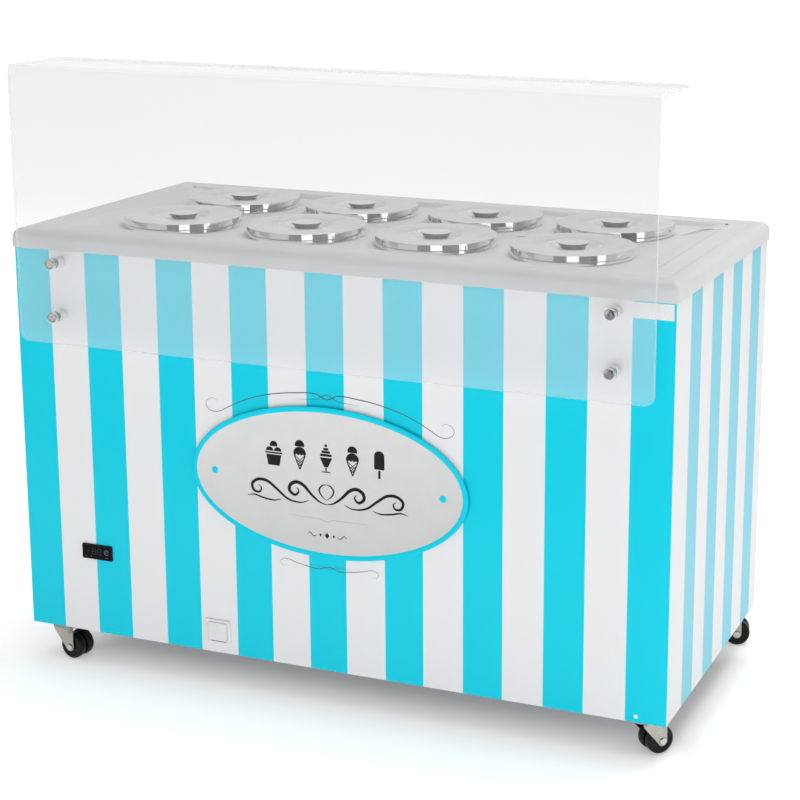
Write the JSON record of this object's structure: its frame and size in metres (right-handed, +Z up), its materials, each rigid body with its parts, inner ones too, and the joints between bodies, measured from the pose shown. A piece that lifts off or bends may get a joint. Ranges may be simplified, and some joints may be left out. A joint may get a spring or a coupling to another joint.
{
  "type": "ice cream dipping cabinet",
  "caption": "Striped chest cabinet on castors with lidded round tubs sunk in a moulded worktop behind a clear bent sneeze guard.",
  "frame": {"origin": "middle of the bounding box on the floor, under the castor wheels", "axes": "+X to the right along the front, the front with the guard faces -Y, +Z up"},
  "size_m": [1.258, 0.6446, 1.128],
  "materials": {
    "worktop_grey": "satin moulded light grey plastic",
    "striped_panel": "gloss, broad upright cyan and white stripes",
    "white_panel": "satin white paint",
    "galvanised_sheet": "galvanised sheet",
    "tank_steel": "drawn stainless sheet",
    "insulation_foam": "matte rigid foam",
    "black_paint": "satin black paint",
    "condenser_aluminium": "finned aluminium",
    "fan_aluminium": "pressed sheet",
    "controller_black": "gloss black lens",
    "white_plastic": "satin white plastic",
    "black_plastic": "satin black plastic",
    "plaque_silver": "satin light grey face with a cyan edge",
    "clear_sheet": "clear bent acrylic sheet",
    "tub_steel": "polished stainless steel",
    "lid_steel": "mirror-polished stainless steel",
    "standoff_steel": "turned stainless steel",
    "zinc_plated": "zinc plate, slightly warm",
    "axle_steel": "plain steel",
    "black_rubber": "satin black tread"
  },
  "bodies": {
    "cabinet": {"worktop": "worktop_grey", "front_panel": "striped_panel", "left_panel": "striped_panel", "right_panel": "striped_panel", "rear_panel": "white_panel", "rear_grille": "white_panel", "base_tray": "galvanised_sheet", "tank_liner": "tank_steel", "foam_insulation": "insulation_foam", "compressor": "black_paint", "condenser": "condenser_aluminium", "fan_motor": "black_paint", "controller": "controller_black", "drain_frame": "white_plastic", "drain_pipe": "white_plastic", "cable_gland": "black_plastic", "sign_plaque": "plaque_silver", "sneeze_guard": "clear_sheet", "standoff_barrel_ul": "standoff_steel", "standoff_barrel_ll": "standoff_steel", "standoff_barrel_ur": "standoff_steel", "standoff_barrel_lr": "standoff_steel", "standoff_cap_ul": "standoff_steel", "standoff_cap_ll": "standoff_steel", "standoff_cap_ur": "standoff_steel", "standoff_cap_lr": "standoff_steel", "castor_plate_fl": "zinc_plated", "castor_plate_fr": "zinc_plated", "castor_plate_rl": "zinc_plated", "castor_plate_rr": "zinc_plated"},
    "tub_1_body": {"tub_1": "tub_steel"},
    "lid_1_body": {"lid_1": "lid_steel"},
    "tub_2_body": {"tub_2": "tub_steel"},
    "lid_2_body": {"lid_2": "lid_steel"},
    "tub_3_body": {"tub_3": "tub_steel"},
    "lid_3_body": {"lid_3": "lid_steel"},
    "tub_4_body": {"tub_4": "tub_steel"},
    "lid_4_body": {"lid_4": "lid_steel"},
    "tub_5_body": {"tub_5": "tub_steel"},
    "lid_5_body": {"lid_5": "lid_steel"},
    "tub_6_body": {"tub_6": "tub_steel"},
    "lid_6_body": {"lid_6": "lid_steel"},
    "tub_7_body": {"tub_7": "tub_steel"},
    "lid_7_body": {"lid_7": "lid_steel"},
    "tub_8_body": {"tub_8": "tub_steel"},
    "lid_8_body": {"lid_8": "lid_steel"},
    "castor_fl_swivel": {"castor_fork_fl": "zinc_plated", "castor_axle_fl": "axle_steel"},
    "castor_fl_wheels": {"castor_wheel_fl": "black_rubber"},
    "castor_fr_swivel": {"castor_fork_fr": "zinc_plated", "castor_axle_fr": "axle_steel"},
    "castor_fr_wheels": {"castor_wheel_fr": "black_rubber"},
    "castor_rl_swivel": {"castor_fork_rl": "zinc_plated", "castor_axle_rl": "axle_steel"},
    "castor_rl_wheels": {"castor_wheel_rl": "black_rubber"},
    "castor_rr_swivel": {"castor_fork_rr": "zinc_plated", "castor_axle_rr": "axle_steel"},
    "castor_rr_wheels": {"castor_wheel_rr": "black_rubber"},
    "fan_body": {"fan_blades": "fan_aluminium"},
    "drain_cap_body": {"drain_cap": "white_plastic"}
  },
  "joints": [
    {"name": "tub_1_lift", "type": "slide", "parent": "cabinet", "child": "tub_1_body", "axis": [0, 0, 1], "range_m": [0, 0.24]},
    {"name": "lid_1_lift", "type": "slide", "parent": "tub_1_body", "child": "lid_1_body", "axis": [0, 0, 1], "range_m": [0, 0.03]},
    {"name": "tub_2_lift", "type": "slide", "parent": "cabinet", "child": "tub_2_body", "axis": [0, 0, 1], "range_m": [0, 0.24]},
    {"name": "lid_2_lift", "type": "slide", "parent": "tub_2_body", "child": "lid_2_body", "axis": [0, 0, 1], "range_m": [0, 0.03]},
    {"name": "tub_3_lift", "type": "slide", "parent": "cabinet", "child": "tub_3_body", "axis": [0, 0, 1], "range_m": [0, 0.24]},
    {"name": "lid_3_lift", "type": "slide", "parent": "tub_3_body", "child": "lid_3_body", "axis": [0, 0, 1], "range_m": [0, 0.03]},
    {"name": "tub_4_lift", "type": "slide", "parent": "cabinet", "child": "tub_4_body", "axis": [0, 0, 1], "range_m": [0, 0.24]},
    {"name": "lid_4_lift", "type": "slide", "parent": "tub_4_body", "child": "lid_4_body", "axis": [0, 0, 1], "range_m": [0, 0.03]},
    {"name": "tub_5_lift", "type": "slide", "parent": "cabinet", "child": "tub_5_body", "axis": [0, 0, 1], "range_m": [0, 0.26]},
    {"name": "lid_5_lift", "type": "slide", "parent": "tub_5_body", "child": "lid_5_body", "axis": [0, 0, 1], "range_m": [0, 0.08]},
    {"name": "tub_6_lift", "type": "slide", "parent": "cabinet", "child": "tub_6_body", "axis": [0, 0, 1], "range_m": [0, 0.26]},
    {"name": "lid_6_lift", "type": "slide", "parent": "tub_6_body", "child": "lid_6_body", "axis": [0, 0, 1], "range_m": [0, 0.08]},
    {"name": "tub_7_lift", "type": "slide", "parent": "cabinet", "child": "tub_7_body", "axis": [0, 0, 1], "range_m": [0, 0.26]},
    {"name": "lid_7_lift", "type": "slide", "parent": "tub_7_body", "child": "lid_7_body", "axis": [0, 0, 1], "range_m": [0, 0.08]},
    {"name": "tub_8_lift", "type": "slide", "parent": "cabinet", "child": "tub_8_body", "axis": [0, 0, 1], "range_m": [0, 0.26]},
    {"name": "lid_8_lift", "type": "slide", "parent": "tub_8_body", "child": "lid_8_body", "axis": [0, 0, 1], "range_m": [0, 0.08]},
    {"name": "castor_fl_turn", "type": "hinge", "parent": "cabinet", "child": "castor_fl_swivel", "pos_m": [-0.575, -0.2477, 0.06], "axis": [0, 0, 1], "continuous": true},
    {"name": "castor_fl_roll", "type": "hinge", "parent": "castor_fl_swivel", "child": "castor_fl_wheels", "pos_m": [-0.55024, -0.25118, 0.025], "axis": [0.1392, 0.9903, 0], "continuous": true},
    {"name": "castor_fr_turn", "type": "hinge", "parent": "cabinet", "child": "castor_fr_swivel", "pos_m": [0.575, -0.2477, 0.06], "axis": [0, 0, 1], "continuous": true},
    {"name": "castor_fr_roll", "type": "hinge", "parent": "castor_fr_swivel", "child": "castor_fr_wheels", "pos_m": [0.59107, -0.22855, 0.025], "axis": [-0.766, 0.6428, 0], "continuous": true},
    {"name": "castor_rl_turn", "type": "hinge", "parent": "cabinet", "child": "castor_rl_swivel", "pos_m": [-0.575, 0.2823, 0.06], "axis": [0, 0, 1], "continuous": true},
    {"name": "castor_rl_roll", "type": "hinge", "parent": "castor_rl_swivel", "child": "castor_rl_wheels", "pos_m": [-0.59976, 0.28578, 0.025], "axis": [-0.1392, -0.9903, 0], "continuous": true},
    {"name": "castor_rr_turn", "type": "hinge", "parent": "cabinet", "child": "castor_rr_swivel", "pos_m": [0.575, 0.2823, 0.06], "axis": [0, 0, 1], "continuous": true},
    {"name": "castor_rr_roll", "type": "hinge", "parent": "castor_rr_swivel", "child": "castor_rr_wheels", "pos_m": [0.59915, 0.28877, 0.025], "axis": [-0.2588, 0.9659, 0], "continuous": true},
    {"name": "fan_spin", "type": "hinge", "parent": "cabinet", "child": "fan_body", "pos_m": [0.32, 0.2235, 0.2036], "axis": [0, 1, 0], "continuous": true},
    {"name": "drain_cap_pull", "type": "slide", "parent": "cabinet", "child": "drain_cap_body", "axis": [0, -1, 0], "range_m": [0, 0.05]}
  ]
}
